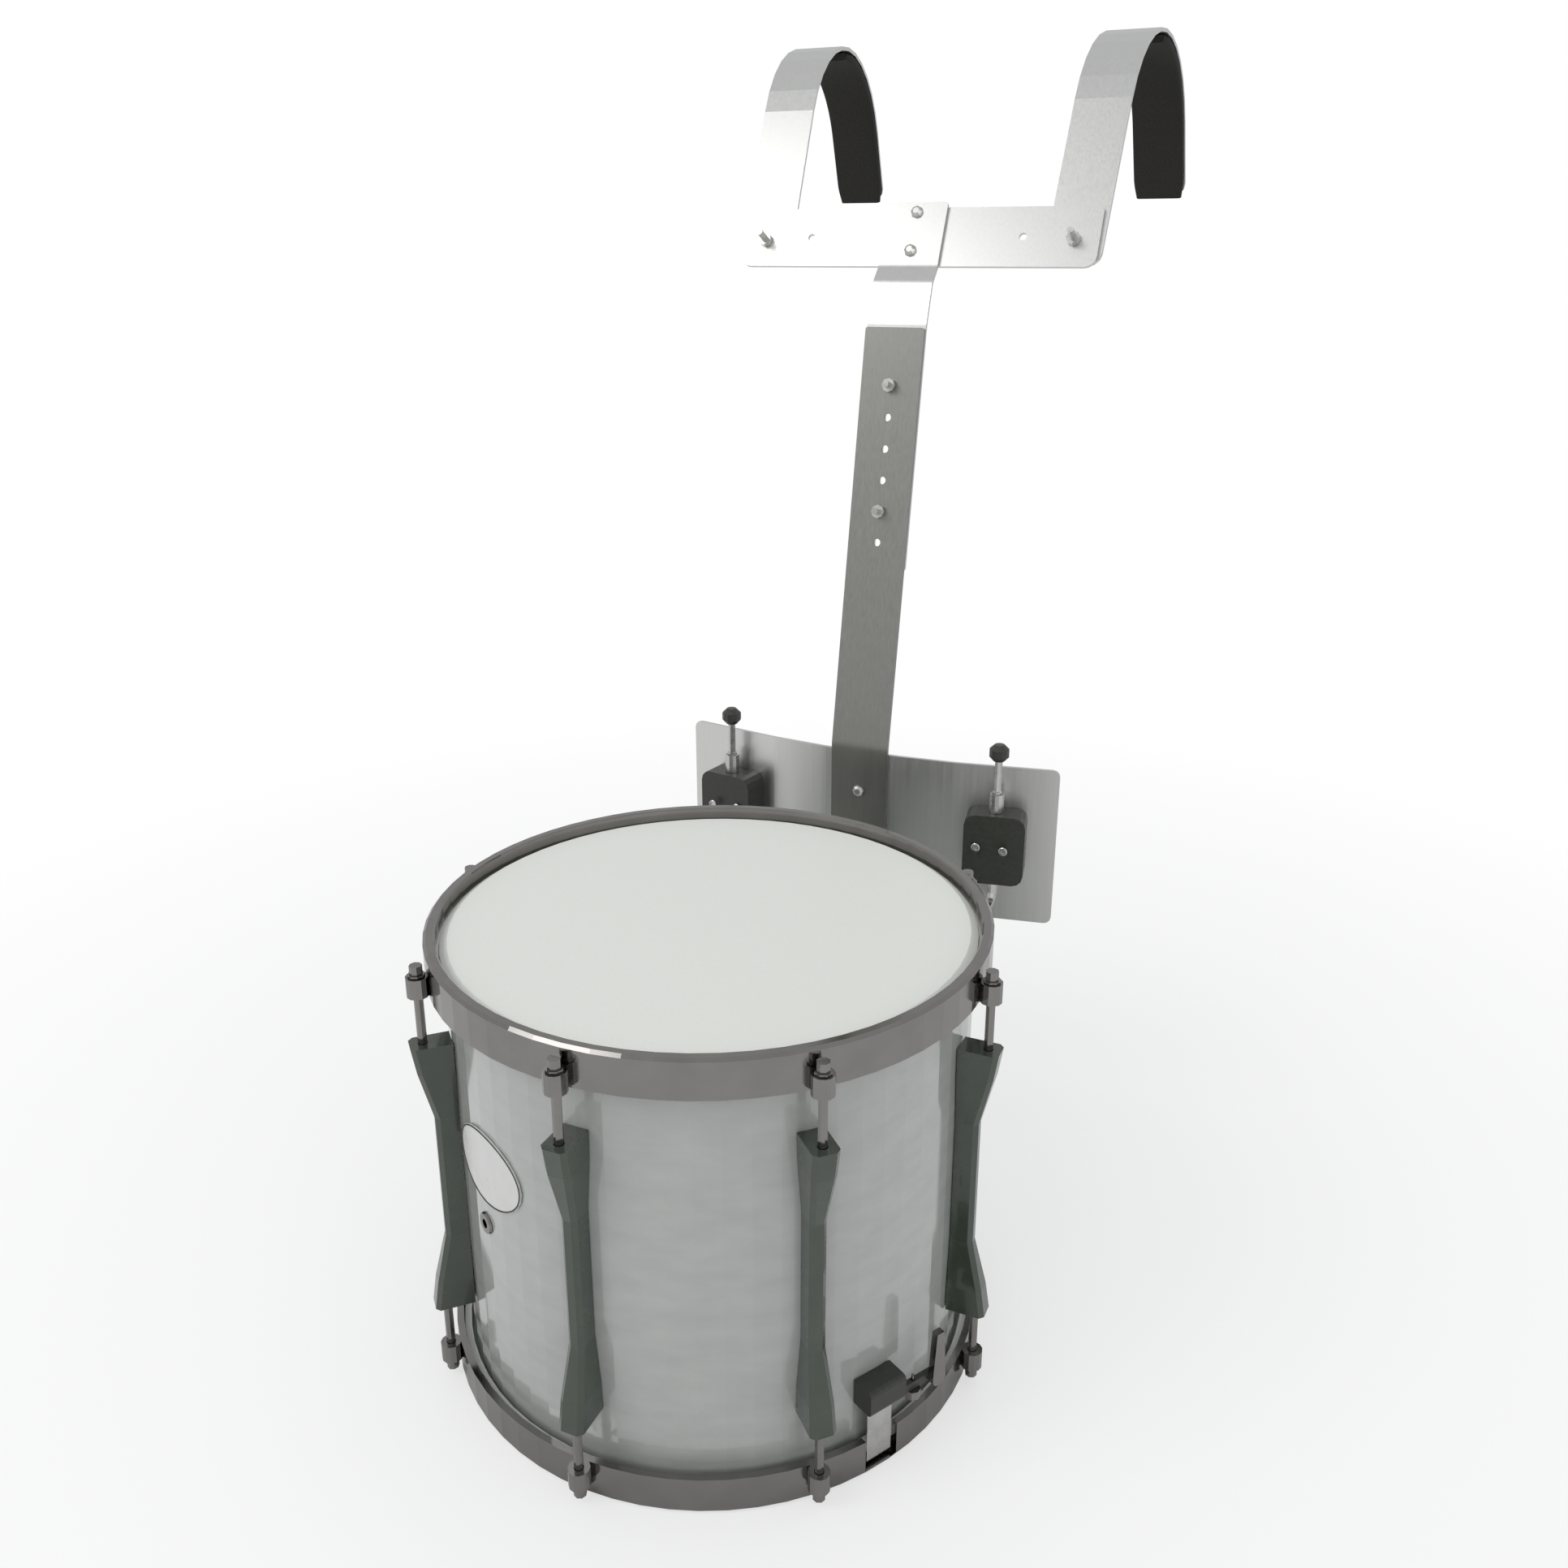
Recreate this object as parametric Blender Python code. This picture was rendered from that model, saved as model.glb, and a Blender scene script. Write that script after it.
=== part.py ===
"""Marching drum on its T-bar shoulder carrier, in metres, +Z up.

The drum stands on its bottom hoop, the carrier stands behind it at +Y, and the
player's strap arches are on top. Outward directions on the drum are counted as an
azimuth from the front (-Y) towards +X.
"""
import math

import bmesh
import bpy
from mathutils import Vector

# General clearances and roundness
GAP = 0.0003                # between pieces that touch
BORE_PLAY = 0.0004          # round a rod or screw in its hole
RING_SEGMENTS = 64
ROD_SEGMENTS = 8

# Drum shell and heads
SHELL_RADIUS = 0.1778       # fourteen inch shell
SHELL_WALL = 0.006
SHELL_DEPTH = 0.3102
EDGE_BEVEL = 0.003
FILM = 0.0006
HEAD_DROP = 0.0065          # the head lies this far under the hoop's rim
COLLAR_DEPTH = 0.0058       # the head's step down to its flesh hoop
FLESH_HEIGHT = 0.0080
FLESH_WIDTH = 0.0045

# Hoops
HOOP_WALL = 0.0047
HOOP_HEIGHT = 0.0265
RIM_WIDTH = 0.0077
RIM_ROUND = 0.0020
EAR_RADIUS = 0.0072
EAR_HEIGHT = 0.0135
LUG_COUNT = 8
ROD_CIRCLE = 0.1960

# Lugs and tension rods
LUG_LENGTH = 0.2030
LUG_WAIST_DEPTH = 0.0150
LUG_END_DEPTH = 0.0265
LUG_WAIST_HALF = 0.0056
LUG_END_HALF = 0.0088
LUG_TAPER_START = 0.046     # from mid height to where the flare begins
LUG_TAPER_END = 0.082       # from mid height to where the flare is full
LUG_EDGE = 0.0030
ROD_RADIUS = 0.0030
ROD_IN_LUG = 0.0200
WASHER_RADIUS = 0.0056
WASHER_THICKNESS = 0.0015
KEY_HEAD_RADIUS = 0.0042
KEY_HEAD_HEIGHT = 0.0060

# Badge and vent
BADGE_AZIMUTH = -27.0
BADGE_RISE = 0.0365
BADGE_HALF_WIDTH = 0.0380
BADGE_HALF_HEIGHT = 0.0260
BADGE_THICKNESS = 0.0012
VENT_AZIMUTH = -29.0
VENT_RISE = -0.0085
VENT_RADIUS = 0.0045
VENT_FLANGE = 0.0075
VENT_LIP = 0.0015

# Snare, strainer and butt
SNARE_AZIMUTH = 60.0
SNARE_LENGTH = 0.3000
SNARE_WIDTH = 0.0340
SNARE_SLOTS = 8
SNARE_SLOT_WIDTH = 0.0018
SNARE_THICKNESS = 0.0012
SNARE_DROP = 0.0015         # how far the snares fall away when they are thrown off
STRAP_TAPE_WIDTH = 0.0200
STRAP_TAPE_THICKNESS = 0.0008
GATE_WIDTH = 0.0260
STRAINER_RISE = 0.0255      # the strainer's underside above the bottom hoop's edge
STRAINER_WIDTH = 0.0290
STRAINER_HEIGHT = 0.0180
STRAINER_DEPTH = 0.0170
BLOCK_SKIRT = 0.0010        # the block reaches this far under its arm
ARM_REACH = 0.0400
ARM_HEIGHT = 0.0060
ARM_THICKNESS = 0.0040
LEVER_LENGTH = 0.0360
LEVER_HUB_RADIUS = 0.0055
LEVER_THICKNESS = 0.0050
KNOB_SHIFT = 0.0235         # tension knob, sideways from the strainer's middle
KNOB_RADIUS = 0.0055
KNOB_HEIGHT = 0.0070
KNOB_SCREW_RADIUS = 0.0010
BUTT_WIDTH = 0.0400

# Carrier: J rods and their blocks
ROD_SPACING = 0.2400
J_RADIUS = 0.0040
J_REACH = 0.1386            # from the hook's tip back to the upright
J_DROP = 0.0700             # from the hoop's underside down to the rod's run
J_BEND = 0.0140
J_THREAD_RADIUS = 0.0032
J_SHOULDER = 0.0295         # end of the full rod, above the hoop's underside
J_TOP = 0.0640
J_KNOB_BASE = 0.0560
J_KNOB_HEIGHT = 0.0140
J_KNOB_RADIUS = 0.0082
COLLAR_RADIUS = 0.0060
COLLAR_HEIGHT = 0.0157
BLOCK_WIDTH = 0.0500
BLOCK_HEIGHT = 0.0600
BLOCK_DEPTH = 0.0240
BLOCK_CENTRE = -0.0185
BLOCK_CORNER = 0.0090

# Carrier: plate, bars and crossbar
SHEET = 0.0030              # thickness of every aluminium strip
PLATE_HEIGHT = 0.1370
PLATE_CENTRE = -0.0220
PLATE_FLAT_HALF = 0.0320
PLATE_BEND_AT = 0.0820
PLATE_HALF = 0.1660
PLATE_BEND_ONE = 5.0
PLATE_BEND_TWO = 9.9
PLATE_CORNER = 0.0060
BAR_WIDTH = 0.0500
BAR_LEAN = 10.7
FOOT_LENGTH = 0.1240
FOOT_START = -0.0720
LOWER_BAR_LENGTH = 0.3420
BAR_OVERLAP = 0.1930
HOLE_COUNT = 6
HOLE_PITCH = 0.0252
FIRST_HOLE = 0.0457         # from the lower bar's top end to its first hole
NECK_LENGTH = 0.0340
NECK_LEAN = 20.0
KNEE_LENGTH = 0.0161
KNEE_LEAN = 46.0
BAR_TRAVEL = 0.0250
CROSSBAR_LENGTH = 0.3020
CROSSBAR_HEIGHT = 0.0500
CROSSBAR_LEAN = 26.0
CROSSBAR_LIFT = 0.0020      # from the upper bar's last bend to the crossbar's edge
CROSSBAR_CORNER = 0.0090
BAR_TOP_REACH = 0.0030      # the upper bar ends this far above the crossbar
CROSSBAR_SCREWS = (0.0193, -0.0134)
SPARE_HOLE = 0.0902
STRAP_BOLT_X = 0.1310
STRAP_BOLT_RISE = -0.0030

# Shoulder straps
STRAP_WIDTH = 0.0450
STRAP_TAIL = 0.0190         # below the bolt
STRAP_LEG = 0.1190          # bolt to the arch
STRAP_ARCH_RADIUS = 0.1050
STRAP_REAR_LEAN = 23.5
STRAP_REAR_LEG = 0.0645
STRAP_SPLAY = 3.5
STRAP_CORNER = 0.0100
STRAP_ARCH_STEPS = 12
PAD_THICKNESS = 0.0080
PAD_FIRST_STEP = 6          # the pad begins at this step of the arch, near its top

# Screws of the carrier
BOLT_RADIUS = 0.0028
BOLT_HEAD_RADIUS = 0.0052
BOLT_HEAD_HEIGHT = 0.0035
NUT_RADIUS = 0.0055
NUT_HEIGHT = 0.0045
STRAP_BOLT_END = 0.0120
BAR_BOLT_END = 0.0070
FOOT_BOLTS = (0.0125, -0.0400)

# Worked out from the values above
RIM_TO_SHELL = HEAD_DROP + FILM + GAP
HALF_HEIGHT = SHELL_DEPTH / 2 + RIM_TO_SHELL
HEAD_FACE = HALF_HEIGHT - HEAD_DROP
FLESH_INNER = SHELL_RADIUS + 0.0022
FLESH_OUTER = FLESH_INNER + FLESH_WIDTH
HOOP_INNER = FLESH_OUTER + 0.0006
HOOP_OUTER = HOOP_INNER + HOOP_WALL
RIM_INNER = HOOP_OUTER - RIM_WIDTH
FLESH_TOP = HEAD_FACE - COLLAR_DEPTH
SHOULDER = FLESH_TOP + GAP
HOOP_EDGE = HALF_HEIGHT - HOOP_HEIGHT
EAR_TOP = HOOP_EDGE + EAR_HEIGHT
LUG_BACK = SHELL_RADIUS + GAP
LUG_STEP = 360.0 / LUG_COUNT
LUG_REACH = LUG_BACK + LUG_END_DEPTH
HOOK_RADIUS = (HOOP_INNER + HOOP_OUTER) / 2
ROD_X = ROD_SPACING / 2
ROD_Y = math.sqrt(HOOK_RADIUS ** 2 - ROD_X ** 2) + J_REACH
HALF_SHEET = SHEET / 2
TAPE_RADIUS = FLESH_OUTER + 0.0018


def lean_vector(lean):
    """Unit vector in the YZ plane, leaning back from upright by so many degrees."""
    angle = math.radians(lean)
    return Vector((0.0, math.sin(angle), math.cos(angle)))


def walk(start, legs):
    """Points of a side profile: a start, then (lean, length) legs."""
    points = [Vector(start)]
    for lean, length in legs:
        points.append(points[-1] + lean_vector(lean) * length)
    return points


def rounded(points, radius, steps=3):
    """The same open outline with its inner corners turned into arcs."""
    result = [points[0]]
    for before, corner, after in zip(points, points[1:], points[2:]):
        back = (before - corner).normalized()
        ahead = (after - corner).normalized()
        turn = math.pi - back.angle(ahead)
        reach = radius * math.tan(turn / 2)
        inward = (back + ahead).normalized()
        centre = corner + inward * math.hypot(radius, reach)
        first = corner + back * reach - centre
        last = corner + ahead * reach - centre
        for step in range(steps + 1):
            share = step / steps
            spoke = first.normalized().slerp(last.normalized(), share)
            result.append(centre + spoke * radius)
    result.append(points[-1])
    return result


def offset(points, distance, width_axis):
    """An open outline moved sideways, square to width_axis."""
    moved = []
    for index, point in enumerate(points):
        before = points[max(index - 1, 0)]
        after = points[min(index + 1, len(points) - 1)]
        into = (point - before) if index > 0 else (after - point)
        out = (after - point) if index < len(points) - 1 else into
        side_in = into.normalized().cross(width_axis)
        side_out = out.normalized().cross(width_axis)
        side = (side_in + side_out).normalized()
        moved.append(point + side * (distance / side.dot(side_in)))
    return moved


def material(name, colour, metallic, roughness):
    made = bpy.data.materials.new(name)
    made.use_nodes = True
    shader = made.node_tree.nodes["Principled BSDF"]
    shader.inputs["Base Color"].default_value = (*colour, 1.0)
    shader.inputs["Metallic"].default_value = metallic
    shader.inputs["Roughness"].default_value = roughness
    return made


def empty(name, parent=None, place=(0, 0, 0), azimuth=0.0, lean=0.0):
    frame = bpy.data.objects.new(name, None)
    bpy.context.collection.objects.link(frame)
    frame.parent = parent
    frame.location = place
    frame.rotation_euler = (math.radians(-lean), 0.0, math.radians(azimuth))
    return frame


def add(name, bm, finish, parent, smooth=True):
    """Close a bmesh into a named object under its parent."""
    bmesh.ops.remove_doubles(bm, verts=bm.verts, dist=1e-6)
    bmesh.ops.recalc_face_normals(bm, faces=bm.faces)
    mesh = bpy.data.meshes.new(name)
    bm.to_mesh(mesh)
    bm.free()
    if finish:
        mesh.materials.append(finish)
    if smooth:
        mesh.shade_smooth()
        mesh.set_sharp_from_angle(angle=math.radians(35))
    piece = bpy.data.objects.new(name, mesh)
    bpy.context.collection.objects.link(piece)
    piece.parent = parent
    return piece


def turned(profile, segments, closed=True):
    """A bmesh of revolution about Z from (radius, height) points."""
    bm = bmesh.new()
    verts = [bm.verts.new((radius, 0.0, height)) for radius, height in profile]
    pairs = list(zip(verts, verts[1:]))
    if closed:
        pairs.append((verts[-1], verts[0]))
    edges = [bm.edges.new(pair) for pair in pairs if pair[0].co.x + pair[1].co.x > 0]
    bmesh.ops.spin(bm, geom=verts + edges, cent=(0, 0, 0), axis=(0, 0, 1),
                   angle=2 * math.pi, steps=segments, use_merge=True)
    bmesh.ops.remove_doubles(bm, verts=bm.verts, dist=1e-6)
    bmesh.ops.dissolve_degenerate(bm, edges=bm.edges, dist=1e-7)
    return bm


def prism(outline, along):
    """A bmesh with a flat outline pushed along a vector."""
    bm = bmesh.new()
    face = bm.faces.new([bm.verts.new(point) for point in outline])
    grown = bmesh.ops.extrude_face_region(bm, geom=[face])
    moved = [item for item in grown["geom"] if isinstance(item, bmesh.types.BMVert)]
    bmesh.ops.translate(bm, verts=moved, vec=along)
    return bm


def round_edges(bm, edges, radius, segments=3):
    bmesh.ops.bevel(bm, geom=edges, offset=radius, segments=segments, profile=0.5,
                    affect='EDGES', material=-1)


def box(size, centre=(0, 0, 0)):
    bm = bmesh.new()
    bmesh.ops.create_cube(bm, size=1.0)
    bmesh.ops.scale(bm, vec=size, verts=bm.verts)
    bmesh.ops.translate(bm, vec=centre, verts=bm.verts)
    return bm


def edges_along(bm, axis, keep=lambda point: True):
    """Straight edges that run along one axis and whose middle passes the test."""
    found = []
    for edge in bm.edges:
        run = (edge.verts[1].co - edge.verts[0].co).normalized()
        if abs(run[axis]) > 0.999 and keep((edge.verts[0].co + edge.verts[1].co) / 2):
            found.append(edge)
    return found


def strip(path, width, thickness, corner_start=0.0, corner_end=0.0,
          width_axis=Vector((1, 0, 0)), shear=0.0):
    """A bent sheet metal strip that follows a path, with rounded end corners."""
    near = offset(path, thickness / 2, width_axis)
    far = offset(path, -thickness / 2, width_axis)
    outline = [point - width_axis * (width / 2) for point in near + far[::-1]]
    bm = prism(outline, width_axis * width)
    for end, corner in ((0, corner_start), (-1, corner_end)):
        if not corner:
            continue
        ends = (near[end], far[end])
        picked = []
        for edge in bm.edges:
            flat = [vert.co - width_axis * vert.co.dot(width_axis) for vert in edge.verts]
            base = [point - width_axis * point.dot(width_axis) for point in ends]
            hits = [min((spot - mark).length for mark in base) < 1e-6 for spot in flat]
            apart = (flat[0] - flat[1]).length > thickness / 2
            if all(hits) and apart:
                picked.append(edge)
        round_edges(bm, picked, corner)
    if shear:
        for vert in bm.verts:
            vert.co.x += shear * (vert.co.y - path[0].y)
    return bm


def rod(bm, centre, axis, radius, length, segments=12):
    """Add a closed cylinder to a bmesh."""
    turn = Vector((0, 0, 1)).rotation_difference(Vector(axis)).to_matrix().to_4x4()
    turn.translation = centre
    bmesh.ops.create_cone(bm, cap_ends=True, segments=segments, radius1=radius,
                          radius2=radius, depth=length, matrix=turn)


def cut(piece, cutter_bm, operation='DIFFERENCE'):
    """Keep a live Boolean with a hidden tool object."""
    tool = add(piece.name + "_tool", cutter_bm, None, piece.parent, smooth=False)
    tool.hide_render = True
    tool.display_type = 'WIRE'
    tool.location = piece.location
    tool.rotation_euler = piece.rotation_euler
    change = piece.modifiers.new("cut", 'BOOLEAN')
    change.operation = operation
    change.object = tool
    change.solver = 'EXACT'
    return tool


def stepped_screw(steps, segments=ROD_SEGMENTS):
    """A turned solid from (radius, height) steps, closed on the axis at both ends."""
    profile = [(0.0, steps[0][1])] + list(steps) + [(0.0, steps[-1][1])]
    return turned(profile, segments, closed=False)


def lay_back(bm, place):
    """Turn a screw made along +Z so that its head faces -Y, then move it."""
    for vert in bm.verts:
        vert.co = Vector((vert.co.x, -vert.co.z, vert.co.y)) + Vector(place)
    return bm


def mirrored(bm, side):
    for vert in bm.verts:
        vert.co.z *= side
    return bm


def make_shell(drum, finish):
    half = SHELL_DEPTH / 2
    inner = SHELL_RADIUS - SHELL_WALL
    profile = [(SHELL_RADIUS, half - EDGE_BEVEL), (SHELL_RADIUS - EDGE_BEVEL, half),
               (inner, half - EDGE_BEVEL), (inner, EDGE_BEVEL - half),
               (SHELL_RADIUS - EDGE_BEVEL, -half), (SHELL_RADIUS, EDGE_BEVEL - half)]
    shell = add("shell", turned(profile, RING_SEGMENTS), finish, drum)
    hole = bmesh.new()
    angle = math.radians(VENT_AZIMUTH)
    out = Vector((math.sin(angle), -math.cos(angle), 0.0))
    middle = out * (SHELL_RADIUS - SHELL_WALL / 2)
    middle.z = VENT_RISE
    rod(hole, middle, out, VENT_RADIUS + GAP, SHELL_WALL * 3)
    cut(shell, hole)


def make_head(name, drum, finish, side):
    """A clear-cut film with its collar and flesh hoop, turned in one piece."""
    under = HEAD_FACE - FILM
    profile = [(0.0, HEAD_FACE), (SHELL_RADIUS - EDGE_BEVEL, HEAD_FACE),
               (FLESH_INNER - 0.0002, HEAD_FACE - 0.0030),
               (FLESH_INNER + FILM, FLESH_TOP), (FLESH_OUTER, FLESH_TOP),
               (FLESH_OUTER, FLESH_TOP - FLESH_HEIGHT),
               (FLESH_INNER, FLESH_TOP - FLESH_HEIGHT), (FLESH_INNER, FLESH_TOP),
               (FLESH_INNER - 0.0008, HEAD_FACE - 0.0034),
               (SHELL_RADIUS - EDGE_BEVEL, under), (0.0, under)]
    add(name, mirrored(turned(profile, RING_SEGMENTS, closed=False), side), finish, drum)


def make_hoop(name, drum, finish, side):
    """A flanged hoop with an ear for each rod."""
    profile = [(HOOP_OUTER, HOOP_EDGE), (HOOP_OUTER, HALF_HEIGHT - RIM_ROUND),
               (HOOP_OUTER - RIM_ROUND, HALF_HEIGHT),
               (RIM_INNER + RIM_ROUND / 2, HALF_HEIGHT),
               (RIM_INNER, HALF_HEIGHT - RIM_ROUND / 2), (RIM_INNER, SHOULDER),
               (HOOP_INNER, SHOULDER), (HOOP_INNER, HOOP_EDGE)]
    hoop = add(name, mirrored(turned(profile, RING_SEGMENTS), side), finish, drum)
    ears = bmesh.new()
    holes = bmesh.new()
    middle = side * (HOOP_EDGE + EAR_TOP) / 2
    for count in range(LUG_COUNT):
        angle = math.radians(count * LUG_STEP)
        out = Vector((math.sin(angle), -math.cos(angle), 0.0))
        place = out * ROD_CIRCLE
        place.z = middle
        rod(ears, place, (0, 0, 1), EAR_RADIUS, EAR_HEIGHT, 12)
        rod(holes, place, (0, 0, 1), ROD_RADIUS + BORE_PLAY, EAR_HEIGHT * 2, 8)
    cut(hoop, ears, 'UNION')
    cut(hoop, holes)
    if side < 0:
        gate = bmesh.new()
        low = -HEAD_FACE - FILM - SNARE_DROP - 2 * STRAP_TAPE_THICKNESS
        high = -HOOP_EDGE + 0.0020
        for azimuth in (SNARE_AZIMUTH, SNARE_AZIMUTH + 180.0):
            angle = math.radians(azimuth)
            out = Vector((math.sin(angle), -math.cos(angle), 0.0))
            side_way = Vector((math.cos(angle), math.sin(angle), 0.0))
            inner = out * (RIM_INNER - 0.0020)
            outer = out * (HOOP_OUTER + 0.0020)
            outline = []
            for spot, sign in ((inner, -1), (inner, 1), (outer, 1), (outer, -1)):
                corner = spot + side_way * (sign * GATE_WIDTH / 2)
                corner.z = low
                outline.append(corner)
            part = prism(outline, Vector((0, 0, high - low)))
            scratch = bpy.data.meshes.new("gate")
            part.to_mesh(scratch)
            part.free()
            gate.from_mesh(scratch)
            bpy.data.meshes.remove(scratch)
        cut(hoop, gate)


def lug_mesh(finish):
    """A tube lug with flared ends, lofted over its height and bored for its rods."""
    half = LUG_LENGTH / 2
    levels = [(half, LUG_END_DEPTH, LUG_END_HALF),
              (LUG_TAPER_END, LUG_END_DEPTH - 0.003, LUG_END_HALF - 0.0005),
              (LUG_TAPER_START, LUG_WAIST_DEPTH, LUG_WAIST_HALF)]
    levels += [(-height, depth, wide) for height, depth, wide in levels[::-1]]
    bm = bmesh.new()
    loops = []
    for height, depth, wide in levels:
        back = -LUG_BACK
        front = -LUG_BACK - depth
        corners = [(-wide, back), (-wide, front + LUG_EDGE), (LUG_EDGE - wide, front),
                   (wide - LUG_EDGE, front), (wide, front + LUG_EDGE), (wide, back)]
        loops.append([bm.verts.new((x, y, height)) for x, y in corners])
    for upper, lower in zip(loops, loops[1:]):
        for index in range(len(upper)):
            after = (index + 1) % len(upper)
            bm.faces.new((upper[index], upper[after], lower[after], lower[index]))
    bm.faces.new(loops[0])
    bm.faces.new(loops[-1])
    lug = add("lug_blank", bm, finish, None)
    bores = bmesh.new()
    depth = ROD_IN_LUG + 2 * GAP
    for side in (1, -1):
        middle = Vector((0, -ROD_CIRCLE, side * (half - depth / 2 + 0.001)))
        rod(bores, middle, (0, 0, 1), ROD_RADIUS + BORE_PLAY, depth + 0.002, 8)
    tool = cut(lug, bores)
    graph = bpy.context.evaluated_depsgraph_get()
    mesh = bpy.data.meshes.new_from_object(lug.evaluated_get(graph))
    bpy.data.objects.remove(lug)
    bpy.data.objects.remove(tool)
    return mesh


def make_lugs_and_rods(drum, lug_finish, rod_finish):
    shared_lug = lug_mesh(lug_finish)
    end = LUG_LENGTH / 2 - ROD_IN_LUG
    seat = EAR_TOP + GAP
    steps = [(ROD_RADIUS, end), (ROD_RADIUS, seat), (WASHER_RADIUS, seat),
             (WASHER_RADIUS, seat + WASHER_THICKNESS),
             (KEY_HEAD_RADIUS, seat + WASHER_THICKNESS),
             (KEY_HEAD_RADIUS, seat + WASHER_THICKNESS + KEY_HEAD_HEIGHT)]
    for count in range(LUG_COUNT):
        azimuth = count * LUG_STEP
        lug = bpy.data.objects.new(f"lug_{count + 1}", shared_lug)
        bpy.context.collection.objects.link(lug)
        lug.parent = drum
        lug.rotation_euler.z = math.radians(azimuth)
        angle = math.radians(azimuth)
        place = (ROD_CIRCLE * math.sin(angle), -ROD_CIRCLE * math.cos(angle), 0)
        for word, side in (("top", 1), ("bottom", -1)):
            bm = mirrored(stepped_screw(steps), side)
            screw = add(f"{word}_rod_{count + 1}", bm, rod_finish, drum)
            screw.location = place


def make_badge(drum, finish):
    """An oval plate bent round the shell."""
    bm = bmesh.new()
    count = 24
    inner = SHELL_RADIUS + GAP
    rings = []
    for radius in (inner, inner + BADGE_THICKNESS):
        ring = []
        for step in range(count):
            turn = 2 * math.pi * step / count
            sideways = BADGE_HALF_WIDTH * math.cos(turn)
            angle = math.radians(BADGE_AZIMUTH) + sideways / SHELL_RADIUS
            height = BADGE_RISE + BADGE_HALF_HEIGHT * math.sin(turn)
            ring.append(bm.verts.new((radius * math.sin(angle),
                                      -radius * math.cos(angle), height)))
        rings.append(ring)
    for step in range(count):
        after = (step + 1) % count
        bm.faces.new((rings[0][step], rings[0][after], rings[1][after], rings[1][step]))
    half = count // 2
    for ring in rings:
        for step in range(half):
            right = (ring[step], ring[step + 1])
            left = (ring[(count - step) % count], ring[count - step - 1])
            corners = [right[0], right[1], left[1], left[0]]
            corners = list(dict.fromkeys(corners))
            if len(corners) > 2:
                bm.faces.new(corners)
    bmesh.ops.triangulate(bm, faces=bm.faces)
    add("badge", bm, finish, drum)


def make_vent(drum, finish):
    holder = empty("vent_place", drum, azimuth=VENT_AZIMUTH)
    outer = SHELL_RADIUS + GAP
    inner = SHELL_RADIUS - SHELL_WALL
    tube = VENT_RADIUS - 0.0001
    bore = tube - 0.0012
    profile = [(bore, inner), (tube, inner), (tube, outer), (VENT_FLANGE, outer),
               (VENT_FLANGE - 0.0006, outer + VENT_LIP), (bore, outer + VENT_LIP)]
    bm = lay_back(turned(profile, 16), (0, 0, VENT_RISE))
    add("vent_grommet", bm, finish, holder)


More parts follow.
